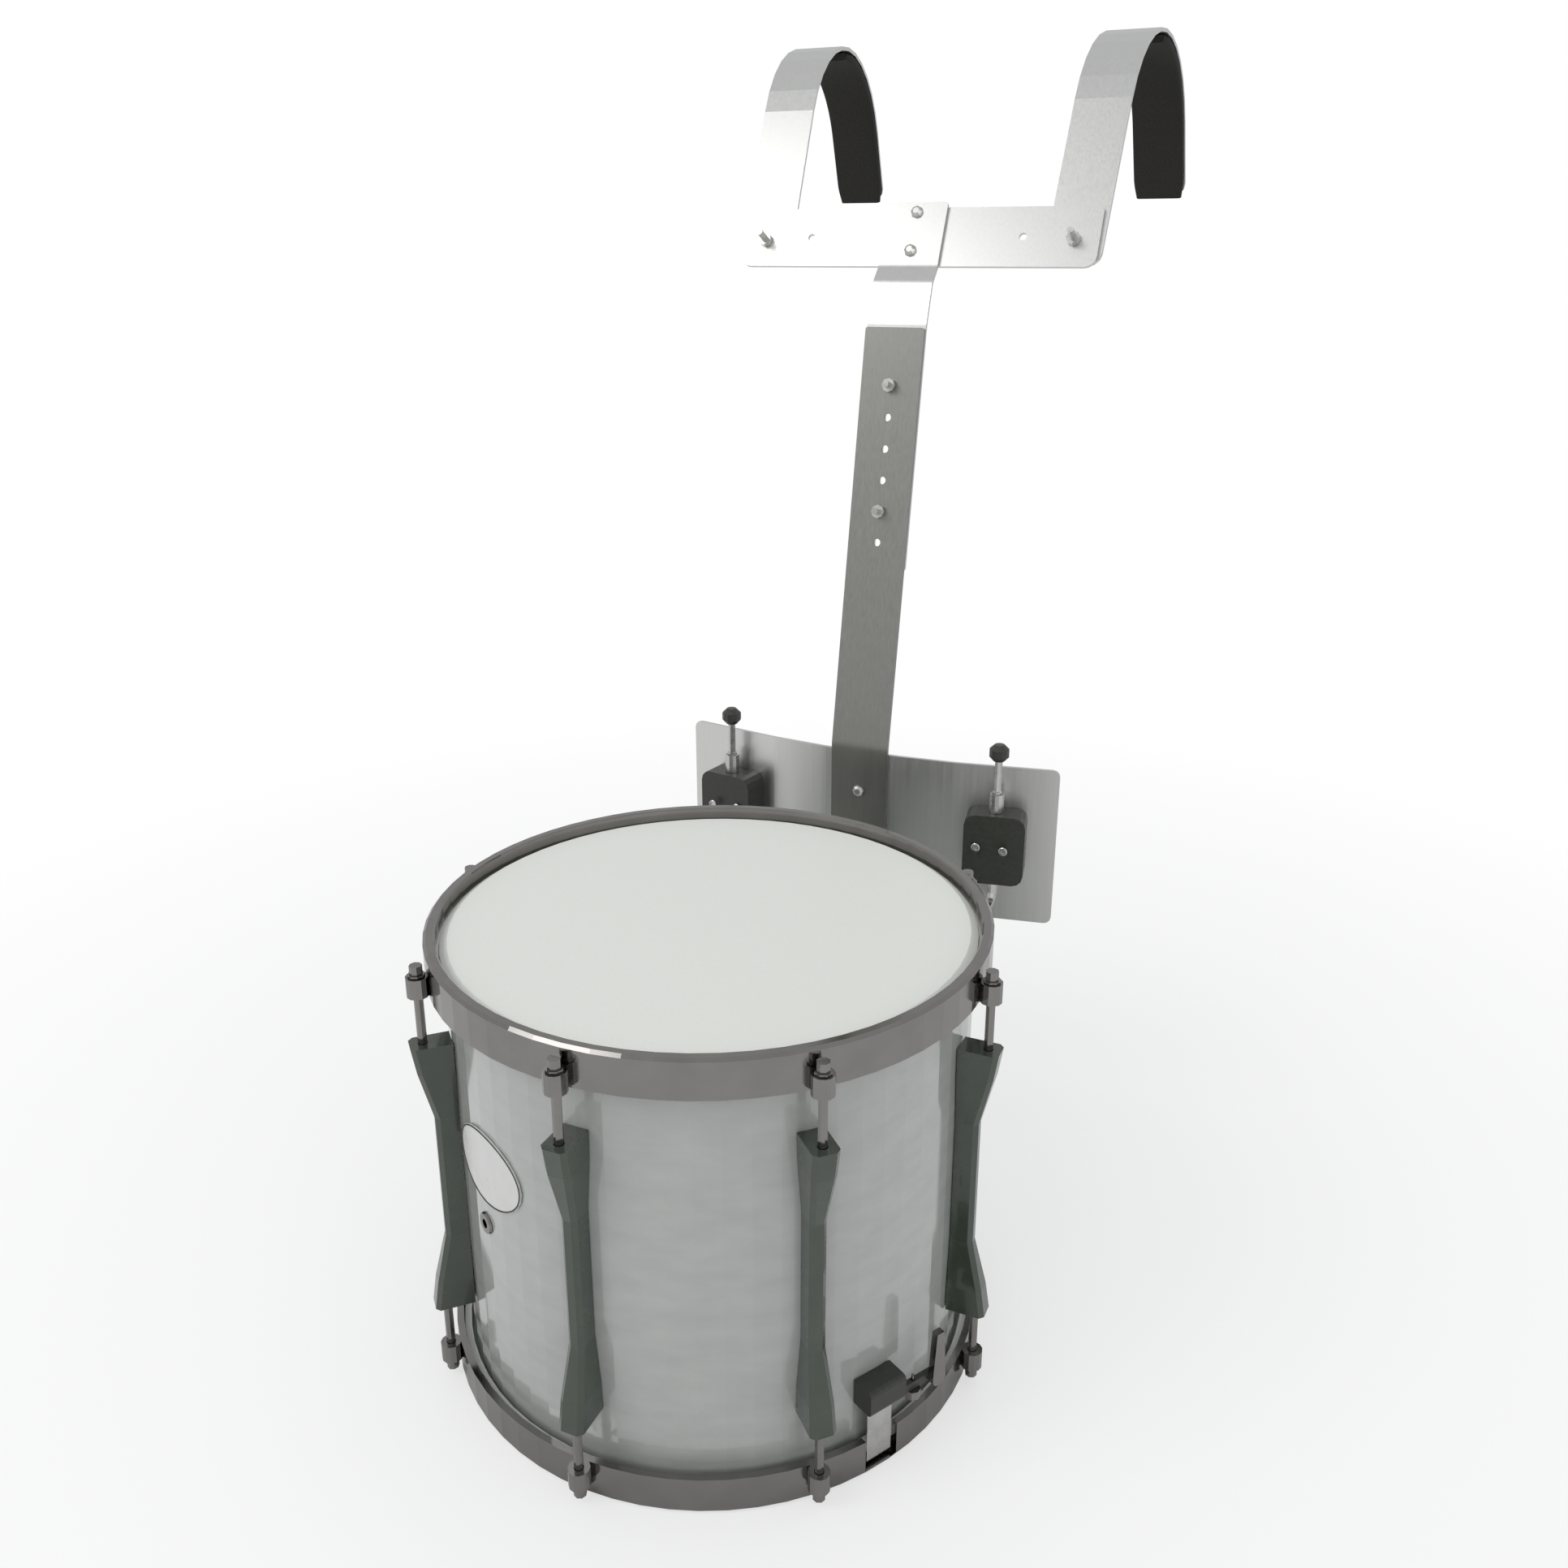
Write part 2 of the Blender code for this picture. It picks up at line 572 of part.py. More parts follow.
def make_snare(drum, black, chrome, wire):
    """Snare wires with their tapes, the strainer and the butt that hold them."""
    face = SNARE_THICKNESS
    film_low = -HEAD_FACE - GAP
    run = film_low - STRAP_TAPE_THICKNESS / 2
    hoop_top = -HOOP_EDGE
    block_low = hoop_top + STRAINER_RISE
    tape_top = block_low + 0.0070
    holder = empty("snare_place", drum, azimuth=SNARE_AZIMUTH)
    path = [Vector((0, -TAPE_RADIUS, tape_top)), Vector((0, -TAPE_RADIUS, run)),
            Vector((0, TAPE_RADIUS, run)), Vector((0, TAPE_RADIUS, tape_top))]
    bm = strip(rounded(path, 0.0012, 2), STRAP_TAPE_WIDTH, STRAP_TAPE_THICKNESS)
    wires = add("snare_wires", bm, wire, holder)
    comb_low = film_low - STRAP_TAPE_THICKNESS / 2 - face
    cut(wires, box((SNARE_WIDTH, SNARE_LENGTH, face),
                   (0, 0, comb_low + face / 2)), 'UNION')
    slots = bmesh.new()
    pitch = SNARE_WIDTH / (SNARE_SLOTS + 1)
    for count in range(SNARE_SLOTS):
        x = (count - (SNARE_SLOTS - 1) / 2) * pitch
        matrix_box = box((SNARE_SLOT_WIDTH, SNARE_LENGTH - 0.030, face * 4), (x, 0, comb_low))
        scratch = bpy.data.meshes.new("slot")
        matrix_box.to_mesh(scratch)
        matrix_box.free()
        slots.from_mesh(scratch)
        bpy.data.meshes.remove(scratch)
    cut(wires, slots)

    back = -SHELL_RADIUS - GAP
    slot_depth = STRAP_TAPE_THICKNESS + 4 * GAP
    slot_height = tape_top - block_low + SNARE_DROP + BLOCK_SKIRT
    for name, wide, azimuth in (("strainer_body", STRAINER_WIDTH, SNARE_AZIMUTH),
                                ("snare_butt", BUTT_WIDTH, SNARE_AZIMUTH + 180.0)):
        place = empty(name + "_place", drum, azimuth=azimuth)
        bm = box((wide, STRAINER_DEPTH, STRAINER_HEIGHT),
                 (0, back - STRAINER_DEPTH / 2, block_low - BLOCK_SKIRT + STRAINER_HEIGHT / 2))
        upper = edges_along(bm, 0, lambda spot: spot.y < back - 0.001)
        round_edges(bm, upper, 0.003, 2)
        body = add(name, bm, black if name == "strainer_body" else chrome, place)
        if name == "strainer_body":
            arm_y = back - STRAINER_DEPTH + ARM_THICKNESS
            arm = box((ARM_REACH + 0.0060, ARM_THICKNESS, ARM_HEIGHT),
                      (ARM_REACH / 2 + 0.0030, arm_y, block_low + ARM_HEIGHT / 2))
            cut(body, arm, 'UNION')
            bore = bmesh.new()
            rod(bore, Vector((KNOB_SHIFT, arm_y, block_low)), (0, 0, 1),
                KNOB_SCREW_RADIUS + BORE_PLAY, ARM_HEIGHT * 4, 8)
            rod(bore, Vector((ARM_REACH, arm_y, block_low + ARM_HEIGHT / 2)), (0, 1, 0),
                0.0020 + BORE_PLAY, ARM_THICKNESS * 3, 8)
            cut(body, bore)
            make_lever(drum, chrome, arm_y, block_low)
            make_tension_knob(place, chrome, arm_y, block_low)
        slot = box((STRAP_TAPE_WIDTH + 4 * GAP, slot_depth, slot_height * 2),
                   (0, -TAPE_RADIUS, block_low))
        cut(body, slot)


def make_lever(drum, finish, arm_y, block_low):
    """Throw-off lever on its pin, which passes through the strainer's arm."""
    turn = math.radians(SNARE_AZIMUTH)
    pivot = empty("throw_off_pivot", drum, azimuth=SNARE_AZIMUTH)
    spot = Vector((ARM_REACH, arm_y, 0))
    pivot.location = (spot.x * math.cos(turn) - spot.y * math.sin(turn),
                      spot.x * math.sin(turn) + spot.y * math.cos(turn),
                      block_low + ARM_HEIGHT / 2)
    near = -ARM_THICKNESS / 2 - GAP
    count = 8
    outline = [Vector((LEVER_HUB_RADIUS * math.cos(math.pi * (1 + step / count)), near,
                       LEVER_HUB_RADIUS * math.sin(math.pi * (1 + step / count))))
               for step in range(count + 1)]
    outline += [Vector((0.0030, near, LEVER_LENGTH)), Vector((-0.0030, near, LEVER_LENGTH))]
    lever = add("throw_off_lever", prism(outline, Vector((0, -LEVER_THICKNESS, 0))),
                finish, pivot)
    pin = bmesh.new()
    reach = ARM_THICKNESS + 3 * GAP
    rod(pin, Vector((0, near + reach / 2 - 0.001, 0)), (0, 1, 0), 0.0020, reach + 0.002, 8)
    cut(lever, pin, 'UNION')


def make_tension_knob(place, finish, arm_y, block_low):
    low = block_low - GAP - KNOB_HEIGHT
    steps = [(KNOB_RADIUS - 0.001, low), (KNOB_RADIUS, low + 0.001),
             (KNOB_RADIUS, low + KNOB_HEIGHT), (KNOB_SCREW_RADIUS, low + KNOB_HEIGHT),
             (KNOB_SCREW_RADIUS, block_low + ARM_HEIGHT + 0.004)]
    knob = add("snare_tension_knob", stepped_screw(steps), finish, place)
    knob.location = (KNOB_SHIFT, arm_y, 0)


def make_j_rods(carrier, steel, black, drum_hook):
    """The hooked rods that carry the drum, with their knobs, collars and blocks."""
    plate_angle = PLATE_BEND_TWO
    for word, side in (("left", -1), ("right", 1)):
        x = side * ROD_X
        route = [Vector((x, -J_REACH, -GAP)), Vector((x, -J_REACH, -J_DROP)),
                 Vector((x, 0, -J_DROP)), Vector((x, 0, J_SHOULDER))]
        route = rounded(route, J_BEND, 4)
        thick = [J_RADIUS] * len(route)
        route += [route[-1] + Vector((0, 0, 0.0005)), Vector((x, 0, J_TOP))]
        thick += [J_THREAD_RADIUS] * 2
        curve = bpy.data.curves.new(f"j_rod_{word}", 'CURVE')
        curve.dimensions = '3D'
        curve.bevel_depth = J_RADIUS
        curve.bevel_resolution = 2
        curve.use_fill_caps = True
        spline = curve.splines.new('POLY')
        spline.points.add(len(route) - 1)
        for point, spot, radius in zip(spline.points, route, thick):
            point.co = (*spot, 1.0)
            point.radius = radius / J_RADIUS
        curve.materials.append(steel)
        piece = bpy.data.objects.new(f"j_rod_{word}", curve)
        bpy.context.collection.objects.link(piece)
        piece.parent = drum_hook

        bore = J_THREAD_RADIUS + BORE_PLAY
        top = J_KNOB_BASE + J_KNOB_HEIGHT
        roof = J_TOP + GAP
        profile = [(bore, J_KNOB_BASE), (J_KNOB_RADIUS * 0.55, J_KNOB_BASE),
                   (J_KNOB_RADIUS, J_KNOB_BASE + 0.004),
                   (J_KNOB_RADIUS, top - 0.004), (J_KNOB_RADIUS * 0.5, top), (0, top),
                   (0, roof), (bore, roof), (bore, J_KNOB_BASE)]
        knob = add(f"j_knob_{word}", turned(profile, 12, closed=False), black, drum_hook)
        knob.location.x = x

        block_top = BLOCK_CENTRE + BLOCK_HEIGHT / 2
        wall = J_RADIUS + BORE_PLAY
        low = block_top + GAP
        ring = [(wall, low), (COLLAR_RADIUS, low), (COLLAR_RADIUS, low + COLLAR_HEIGHT),
                (wall, low + COLLAR_HEIGHT)]
        collar = add(f"lock_collar_{word}", turned(ring, 12), steel, carrier)
        collar.location.x = x

        bm = box((BLOCK_WIDTH, BLOCK_DEPTH, BLOCK_HEIGHT), (0, 0, BLOCK_CENTRE))
        round_edges(bm, edges_along(bm, 1), BLOCK_CORNER, 3)
        block = add(f"clamp_block_{word}", bm, black, carrier)
        block.location.x = x
        block.rotation_euler.z = side * math.radians(plate_angle)
        hole = bmesh.new()
        rod(hole, Vector((0, 0, BLOCK_CENTRE)), (0, 0, 1), wall, BLOCK_HEIGHT * 1.2, 12)
        cut(block, hole)


def plate_front():
    """Depth of the plate's flat middle behind the rods' axis."""
    one = math.radians(PLATE_BEND_ONE)
    two = math.radians(PLATE_BEND_TWO)
    seat = BLOCK_DEPTH / 2 + GAP + HALF_SHEET
    seat_x = ROD_X - seat * math.sin(two)
    seat_y = seat * math.cos(two)
    step_one = (PLATE_BEND_AT - PLATE_FLAT_HALF) * math.tan(one)
    step_two = (seat_x - PLATE_BEND_AT) * math.tan(two)
    return seat_y - step_one - step_two


def make_carrier(carrier, bright, dull, steel, black, foam):
    middle_y = plate_front()
    one = math.tan(math.radians(PLATE_BEND_ONE))
    two = math.tan(math.radians(PLATE_BEND_TWO))
    bend_y = middle_y + (PLATE_BEND_AT - PLATE_FLAT_HALF) * one
    end_y = bend_y + (PLATE_HALF - PLATE_BEND_AT) * two
    half_path = [(PLATE_FLAT_HALF, middle_y), (PLATE_BEND_AT, bend_y), (PLATE_HALF, end_y)]
    path = [Vector((-x, y, PLATE_CENTRE)) for x, y in half_path[::-1]]
    path += [Vector((x, y, PLATE_CENTRE)) for x, y in half_path]
    bm = strip(rounded(path, 0.080, 2), PLATE_HEIGHT, SHEET, PLATE_CORNER, PLATE_CORNER,
               width_axis=Vector((0, 0, 1)))
    plate = add("belly_plate", bm, bright, carrier)
    foot_y = middle_y - SHEET - GAP
    holes = bmesh.new()
    for height in FOOT_BOLTS:
        rod(holes, Vector((0, foot_y, height)), (0, 1, 0), BOLT_RADIUS + BORE_PLAY, 0.03, 10)
    holes_again = holes.copy()
    cut(plate, holes)

    legs = [(0.0, FOOT_LENGTH), (BAR_LEAN, LOWER_BAR_LENGTH)]
    line = walk((0, foot_y, FOOT_START), legs)
    up = lean_vector(BAR_LEAN)
    rear = Vector((0, up.z, -up.y))
    lower = add("lower_bar", strip(rounded(line, 0.030), BAR_WIDTH, SHEET, 0.002, 0.002),
                dull, carrier)
    top = line[-1]
    for count in range(HOLE_COUNT):
        spot = top - up * (FIRST_HOLE + count * HOLE_PITCH)
        rod(holes_again, spot, rear, BOLT_RADIUS + BORE_PLAY, 0.012, 10)
    cut(lower, holes_again)

    # The upper bar lies behind the lower one and bends forward over the crossbar.
    start = top + rear * (SHEET + GAP) - up * BAR_OVERLAP
    legs = [(BAR_LEAN, BAR_OVERLAP + 0.0030), (NECK_LEAN, NECK_LENGTH),
            (KNEE_LEAN, KNEE_LENGTH),
            (CROSSBAR_LEAN, CROSSBAR_LIFT + CROSSBAR_HEIGHT + BAR_TOP_REACH)]
    line = walk(start, legs)
    cross_up = lean_vector(CROSSBAR_LEAN)
    cross_rear = Vector((0, cross_up.z, -cross_up.y))
    centre = line[-2] + cross_up * (CROSSBAR_LIFT + CROSSBAR_HEIGHT / 2)
    centre += cross_rear * (SHEET + GAP)
    upper = add("upper_bar", strip(rounded(line, 0.009), BAR_WIDTH, SHEET, 0.002, 0.002),
                bright, carrier)
    holes = bmesh.new()
    slot_high = top - up * (FIRST_HOLE - BAR_TRAVEL)
    slot_low = top - up * (FIRST_HOLE + 4 * HOLE_PITCH + BAR_TRAVEL)
    slot_wide = BOLT_RADIUS + BORE_PLAY
    middle = (slot_high + slot_low) / 2
    across = Vector((1, 0, 0))
    reach = (slot_high - slot_low).length / 2 + slot_wide
    outline = [middle + up * reach * a + across * slot_wide * b - rear * 0.002
               for a, b in ((-1, -1), (-1, 1), (1, 1), (1, -1))]
    cut(upper, prism(outline, rear * 0.012))
    for rise in CROSSBAR_SCREWS:
        rod(holes, centre + cross_up * rise, cross_rear, BOLT_RADIUS + BORE_PLAY, 0.016, 10)
    cut(upper, holes)

    frame = empty("crossbar_place", carrier, place=centre, lean=CROSSBAR_LEAN)
    bm = box((CROSSBAR_LENGTH, SHEET, CROSSBAR_HEIGHT))
    round_edges(bm, edges_along(bm, 1, lambda spot: spot.z < 0), CROSSBAR_CORNER, 4)
    round_edges(bm, edges_along(bm, 1, lambda spot: spot.z > 0), 0.0030, 2)
    cross = add("crossbar", bm, bright, frame)
    holes = bmesh.new()
    spots = [(0.0, rise) for rise in CROSSBAR_SCREWS]
    for side in (-1, 1):
        spots += [(side * SPARE_HOLE, 0.0), (side * STRAP_BOLT_X, STRAP_BOLT_RISE)]
    for x, rise in spots:
        rod(holes, Vector((x, 0, rise)), (0, 1, 0), BOLT_RADIUS + BORE_PLAY, 0.012, 10)
    cut(cross, holes)

    make_screws(carrier, frame, steel, foot_y, top, up)
    make_straps(frame, bright, foam, steel, black)


def through_bolt(front, rear, front_end):
    """A bolt along +Z: nut and threaded end in front, flat head behind."""
    return [(BOLT_HEAD_RADIUS * 0.7, -rear - BOLT_HEAD_HEIGHT),
            (BOLT_HEAD_RADIUS, -rear - BOLT_HEAD_HEIGHT * 0.5), (BOLT_HEAD_RADIUS, -rear),
            (BOLT_RADIUS, -rear), (BOLT_RADIUS, front), (NUT_RADIUS, front),
            (NUT_RADIUS, front + NUT_HEIGHT), (BOLT_RADIUS, front + NUT_HEIGHT),
            (BOLT_RADIUS, front + NUT_HEIGHT + front_end)]


def dome_screw(front, rear):
    """A screw along +Z: domed head in front, nut behind."""
    return [(BOLT_RADIUS, -rear - NUT_HEIGHT - 0.002), (BOLT_RADIUS, -rear - NUT_HEIGHT),
            (NUT_RADIUS, -rear - NUT_HEIGHT), (NUT_RADIUS, -rear), (BOLT_RADIUS, -rear),
            (BOLT_RADIUS, front), (BOLT_HEAD_RADIUS, front),
            (BOLT_HEAD_RADIUS * 0.9, front + BOLT_HEAD_HEIGHT * 0.6),
            (BOLT_HEAD_RADIUS * 0.5, front + BOLT_HEAD_HEIGHT)]


def make_screws(carrier, frame, steel, foot_y, top, up):
    stack = SHEET + GAP
    near = HALF_SHEET + GAP
    far = near + stack
    for word, rise in zip(("upper", "lower"), CROSSBAR_SCREWS):
        bm = lay_back(stepped_screw(dome_screw(far, near)), (0, 0, rise))
        add(f"crossbar_screw_{word}", bm, steel, frame)
    for word, height in zip(("upper", "lower"), FOOT_BOLTS):
        bm = lay_back(stepped_screw(dome_screw(near, far)), (0, foot_y, height))
        add(f"foot_screw_{word}", bm, steel, carrier)
    for word, hole in (("upper", 0), ("lower", 4)):
        spot = top - up * (FIRST_HOLE + hole * HOLE_PITCH)
        place = empty(f"bar_bolt_{word}_place", carrier, place=spot, lean=BAR_LEAN)
        bm = lay_back(stepped_screw(through_bolt(near, far, BAR_BOLT_END)), (0, 0, 0))
        add(f"bar_bolt_{word}", bm, steel, place)
    for word, side in (("left", -1), ("right", 1)):
        bm = lay_back(stepped_screw(through_bolt(near, far, STRAP_BOLT_END)),
                      (side * STRAP_BOLT_X, 0, STRAP_BOLT_RISE))
        add(f"strap_bolt_{word}", bm, steel, frame)


def strap_line(inset=0.0):
    """Side profile of the arch from its tangent round to the rear end, moved inwards."""
    up = lean_vector(CROSSBAR_LEAN)
    rear = Vector((0, up.z, -up.y))
    bolt = rear * (SHEET + GAP)
    tangent = bolt + up * STRAP_LEG
    hub = tangent + rear * STRAP_ARCH_RADIUS
    radius = STRAP_ARCH_RADIUS - inset
    last_lean = 180.0 - STRAP_REAR_LEAN
    points = []
    for step in range(STRAP_ARCH_STEPS + 1):
        lean = CROSSBAR_LEAN + (last_lean - CROSSBAR_LEAN) * step / STRAP_ARCH_STEPS
        ahead = lean_vector(lean)
        points.append(hub - Vector((0, ahead.z, -ahead.y)) * radius)
    points.append(points[-1] + lean_vector(last_lean) * STRAP_REAR_LEG)
    return bolt, up, points


def make_straps(frame, bright, foam, steel, black):
    tilt = math.radians(CROSSBAR_LEAN)
    shear = math.tan(math.radians(STRAP_SPLAY))
    for word, side in (("left", -1), ("right", 1)):
        pivot = empty(f"strap_pivot_{word}", frame, lean=-CROSSBAR_LEAN)
        pivot.location = (side * STRAP_BOLT_X, 0, STRAP_BOLT_RISE)
        bolt, up, arch = strap_line()
        path = [bolt - up * STRAP_TAIL] + arch
        bm = strip(path, STRAP_WIDTH, SHEET, STRAP_CORNER, STRAP_CORNER, shear=side * shear)
        piece = add(f"strap_{word}", bm, bright, pivot)
        hole = bmesh.new()
        rear = Vector((0, up.z, -up.y))
        rod(hole, bolt, rear, BOLT_RADIUS + BORE_PLAY, 0.012, 10)
        cut(piece, hole)
        inset = HALF_SHEET + GAP + PAD_THICKNESS / 2
        arch = strap_line(inset)[2][PAD_FIRST_STEP:]
        bm = strip(arch, STRAP_WIDTH, PAD_THICKNESS, 0.004, STRAP_CORNER)
        for vert in bm.verts:
            vert.co.x += side * shear * (vert.co.y - (bolt - up * STRAP_TAIL).y)
        add(f"strap_pad_{word}", bm, foam, pivot)


def rear_reach():
    """How far the straps stand behind the rods' axis at their rear ends."""
    foot = plate_front() - SHEET - GAP
    up = lean_vector(BAR_LEAN)
    rear = Vector((0, up.z, -up.y))
    line = walk((0, foot, 0), [(BAR_LEAN, LOWER_BAR_LENGTH)])
    spot = line[-1] + rear * (SHEET + GAP)
    spot = walk(spot, [(BAR_LEAN, 0.0030), (NECK_LEAN, NECK_LENGTH), (KNEE_LEAN, KNEE_LENGTH),
                       (CROSSBAR_LEAN, CROSSBAR_LIFT + CROSSBAR_HEIGHT / 2)])[-1]
    cross_up = lean_vector(CROSSBAR_LEAN)
    spot += Vector((0, cross_up.z, -cross_up.y)) * (SHEET + GAP)
    spot += cross_up * STRAP_BOLT_RISE
    end = strap_line()[2][-1]
    return spot.y + end.y + HALF_SHEET * math.cos(math.radians(STRAP_REAR_LEAN))


def build():
    for thing in list(bpy.data.objects):
        bpy.data.objects.remove(thing)
    pearl = material("white_pearl", (0.72, 0.73, 0.71), 0.0, 0.18)
    film = material("coated_film", (0.84, 0.84, 0.80), 0.0, 0.45)
    chrome = material("dark_chrome", (0.30, 0.29, 0.28), 1.0, 0.15)
    green = material("lug_green_grey", (0.09, 0.11, 0.09), 0.2, 0.30)
    bright = material("brushed_aluminium", (0.72, 0.72, 0.70), 1.0, 0.35)
    dull = material("grey_aluminium", (0.42, 0.42, 0.40), 1.0, 0.40)
    steel = material("zinc_steel", (0.62, 0.61, 0.59), 1.0, 0.30)
    black = material("black_block", (0.05, 0.05, 0.045), 0.0, 0.40)
    foam = material("black_foam", (0.02, 0.02, 0.018), 0.0, 0.90)
    badge_white = material("badge_enamel", (0.80, 0.80, 0.78), 0.0, 0.30)

    axis_y = (LUG_REACH - ROD_Y - rear_reach()) / 2
    drum = empty("drum_centre", place=(0, axis_y, HALF_HEIGHT))
    make_shell(drum, pearl)
    make_head("batter_head", drum, film, 1)
    make_head("snare_head", drum, film, -1)
    make_hoop("top_hoop", drum, chrome, 1)
    make_hoop("bottom_hoop", drum, chrome, -1)
    make_lugs_and_rods(drum, green, chrome)
    make_badge(drum, badge_white)
    make_vent(drum, chrome)
    make_snare(drum, black, chrome, steel)
    hook = empty("hook_level", drum, place=(0, ROD_Y, HOOP_EDGE))
    make_j_rods(hook, steel, black, hook)
    make_carrier(hook, bright, dull, steel, black, foam)


build()
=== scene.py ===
"""Looks of a marching drum on its shoulder carrier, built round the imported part."""

import math

import bmesh
import bpy
from mathutils import Matrix, Vector


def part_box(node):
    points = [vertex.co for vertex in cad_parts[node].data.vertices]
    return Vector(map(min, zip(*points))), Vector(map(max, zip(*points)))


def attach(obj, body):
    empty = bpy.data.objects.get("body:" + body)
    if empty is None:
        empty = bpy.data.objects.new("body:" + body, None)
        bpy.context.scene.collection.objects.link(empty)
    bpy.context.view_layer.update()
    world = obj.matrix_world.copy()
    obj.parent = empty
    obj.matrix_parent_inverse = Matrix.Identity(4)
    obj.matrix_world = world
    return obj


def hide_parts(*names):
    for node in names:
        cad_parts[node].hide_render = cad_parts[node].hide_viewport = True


bl_info = {
    "name": "Marching Drum Looks",
    "version": (1, 0, 0),
    "blender": (4, 5, 0),
    "location": "View3D > Sidebar > Drum",
    "description": "Foam pads, finishes and a plain stage for a marching drum and its carrier",
    "category": "Object",
}

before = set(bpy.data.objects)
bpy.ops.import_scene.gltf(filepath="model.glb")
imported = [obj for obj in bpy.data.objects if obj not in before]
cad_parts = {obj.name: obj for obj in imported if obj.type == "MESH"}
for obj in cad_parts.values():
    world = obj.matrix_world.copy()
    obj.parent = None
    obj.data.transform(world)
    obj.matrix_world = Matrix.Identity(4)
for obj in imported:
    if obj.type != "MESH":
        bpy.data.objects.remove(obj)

# Which CAD nodes take which of the record's material slots.
CHROME_FITTINGS = [
    "top_hoop", "bottom_hoop", "vent_grommet", "throw_off_lever", "snare_tension_knob", "snare_butt",
]
RODS = [f"{end}_rod_{index}" for end in ("top", "bottom") for index in range(1, 9)]
STEEL_NODES = [
    "snare_wires", "j_rod_left", "j_rod_right", "lock_collar_left", "lock_collar_right",
    "foot_screw_upper", "foot_screw_lower", "bar_bolt_upper", "bar_bolt_lower",
    "crossbar_screw_upper", "crossbar_screw_lower", "strap_bolt_left", "strap_bolt_right",
]
SLOT_NODES = {
    "pearl": ["shell"],
    "film": ["batter_head", "snare_head"],
    "dark_chrome": CHROME_FITTINGS + RODS,
    "lug_green_grey": [f"lug_{index}" for index in range(1, 9)],
    "badge_enamel": ["badge"],
    "steel": STEEL_NODES,
    "black_block": [
        "strainer_body", "clamp_block_left", "clamp_block_right", "j_knob_left", "j_knob_right",
    ],
    "bright_aluminium": ["belly_plate", "upper_bar", "crossbar", "strap_left", "strap_right"],
    # The lower bar takes a darker copy of the plates' aluminium: painted shade for the darker look the bar
    # gets from the angle it faces.
    "dull_aluminium": ["lower_bar"],
    "foam": ["strap_pad_left", "strap_pad_right"],
}

# The largest angle between two faces that still shade as one surface, in radians.
CAD_SMOOTH = 0.45
PIECE_SMOOTH = 0.6
PAD_SMOOTH = 1.0
RIM_SMOOTH = 1.2

# The foam pad, in metres and degrees: it lies inside the arm's arch and its straight rear leg.
ARCH_RADIUS = 0.105
HALF_SHEET = 0.0015
SEAT_GAP = 0.0003
HALF_PAD = 0.0040
PAD_SKIN_GAP = 0.0001
PAD_FIRST_LEAN = 91.25
PAD_LAST_LEAN = 156.5
PAD_REAR_LEG = 0.0645
ARM_SPLAY = 3.5
ARCH_STEPS = 26
LEG_STEPS = 12
CORNER_STEPS = 5
BELLY_STEPS = 8
END_EASE = 0.35
END_EASE_STEP = 0.25
CORNER_SHARE = 0.9

# The clamp block's screws: radius as a share of the screw's, then how far it stands out, in metres.
SCREW_PROFILE = [(0.45, 0.0006), (0.50, 0.0012), (0.85, 0.0014), (1.0, 0.0010), (1.0, -0.0004)]
SCREW_STEPS = (-0.0115, 0.0115)
SCREW_HEIGHT_SHARE = 0.55
SCREW_TURNS = 24

# The badge's rim.
RIM_TURNS = 72
RIM_SIDES = 8
RIM_SHARE = 0.97

# The stage, in metres.
FLOOR_RADIUS = 30.0
FLOOR_SEGMENTS = 96
FLOOR_DROP = 0.0005
FLOOR_FADE = (0.20, 1.2)
FLOOR_LEAST_GLOW = 0.55
ROOM_GREY = (0.62, 0.63, 0.64, 1.0)
CAMERA_FROM_AXIS = (0.39109, -0.76860, 0.74193)
CAMERA_TILT = 70.87
CAMERA_TURN = 23.69
CAMERA_LENS = 32.29
CAMERA_SENSOR = 36.0
CAMERA_SHIFT = -0.0265


def colour_setting(name, description, default):
    return bpy.props.FloatVectorProperty(
        name=name, description=description, subtype="COLOR", size=3, min=0.0, max=1.0, default=default
    )


def length_setting(name, description, default, least, most):
    return bpy.props.FloatProperty(
        name=name, description=description, unit="LENGTH", precision=5, default=default, min=least, max=most
    )


class DrumLooksSettings(bpy.types.PropertyGroup):
    """Sizes and base colours of the looks"""

    pearl: colour_setting("Shell", "Base colour of the shell's pearl wrap", (0.42, 0.435, 0.415))
    film: colour_setting("Heads", "Base colour of both drum heads", (0.76, 0.77, 0.73))
    dark_chrome: colour_setting("Hoops", "Base colour of the hoops, rods and fittings", (0.26, 0.25, 0.24))
    lug: colour_setting("Lugs", "Base colour of the lugs", (0.050, 0.062, 0.046))
    badge: colour_setting("Badge", "Base colour of the plain badge", (0.70, 0.70, 0.68))
    steel: colour_setting("Steel", "Base colour of the hook rods, bolts and screws", (0.60, 0.59, 0.57))
    black: colour_setting("Blocks", "Base colour of the clamp blocks and knobs", (0.035, 0.037, 0.030))
    bright: colour_setting("Plates", "Base colour of the belly plate, upper bar and arms", (0.70, 0.70, 0.68))
    # The lower bar's colour is the plates' aluminium darkened, as painted shade.
    shaded_bar: colour_setting("Lower bar", "Base colour of the lower bar", (0.30, 0.30, 0.28))
    foam: colour_setting("Foam", "Base colour of the shoulder pads", (0.016, 0.015, 0.012))
    floor: colour_setting("Floor", "Base colour of the floor", (0.86, 0.86, 0.86))
    pad_round: length_setting("Pad edge rounding", "Radius of the pads' long edges", 0.0030, 0.0005, 0.0038)
    pad_bulge: length_setting("Pad bulge", "How far the foam swells at its middle", 0.0010, 0.0, 0.004)
    screw_radius: length_setting("Block screws", "Radius of the clamp blocks' screws", 0.0036, 0.001, 0.006)
    rim_radius: length_setting("Badge rim", "Radius of the badge's round rim", 0.0005, 0.0002, 0.002)


